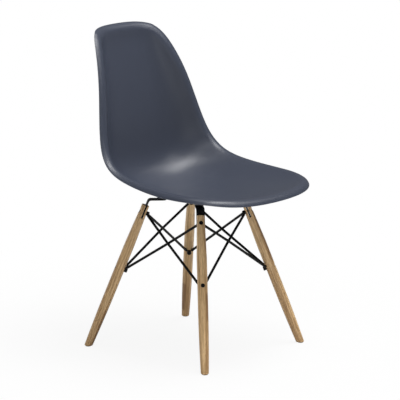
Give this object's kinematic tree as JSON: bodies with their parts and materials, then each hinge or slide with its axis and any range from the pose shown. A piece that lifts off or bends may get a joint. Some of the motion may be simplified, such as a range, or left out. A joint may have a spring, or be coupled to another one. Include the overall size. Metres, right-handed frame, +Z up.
{
  "type": "side chair",
  "caption": "Side chair with a one-piece moulded plastic shell on splayed turned wooden legs, braced by black steel wires.",
  "frame": {"origin": "on the floor under the middle of the chair's bounding box", "axes": "+Z up, the sitter faces -Y, the sitter's right is -X"},
  "size_m": [0.4548, 0.5391, 0.7997],
  "materials": {
    "shell_plastic": "satin moulded slate grey, fine grain",
    "insert_brass": "turned",
    "screw_steel": "black oxide",
    "wire_steel": "black powder coat",
    "bolt_steel": "black oxide",
    "nut_steel": "black powder coat",
    "spacer_rubber": "black moulded rubber",
    "strap_steel": "black powder coat",
    "leg_wood": "light tan beech, clear satin lacquer",
    "glide_nylon": "translucent nylon"
  },
  "bodies": {
    "root": {"seat_shell": "shell_plastic", "threaded_inserts": "insert_brass", "mount_screws": "screw_steel", "brace_wire_front_a": "wire_steel", "brace_wire_front_b": "wire_steel", "brace_wire_left_a": "wire_steel", "brace_wire_left_b": "wire_steel", "brace_wire_rear_a": "wire_steel", "brace_wire_rear_b": "wire_steel", "brace_wire_right_a": "wire_steel", "brace_wire_right_b": "wire_steel", "upper_leg_bolts": "bolt_steel", "upper_weld_nuts": "nut_steel", "lower_leg_bolts": "bolt_steel", "lower_weld_nuts": "nut_steel", "rubber_spacer_front_right": "spacer_rubber", "strap_front_right": "strap_steel", "leg_front_right": "leg_wood", "glide_front_right": "glide_nylon", "rubber_spacer_front_left": "spacer_rubber", "strap_front_left": "strap_steel", "leg_front_left": "leg_wood", "glide_front_left": "glide_nylon", "rubber_spacer_rear_left": "spacer_rubber", "strap_rear_left": "strap_steel", "leg_rear_left": "leg_wood", "glide_rear_left": "glide_nylon", "rubber_spacer_rear_right": "spacer_rubber", "strap_rear_right": "strap_steel", "leg_rear_right": "leg_wood", "glide_rear_right": "glide_nylon"}
  },
  "joints": []
}
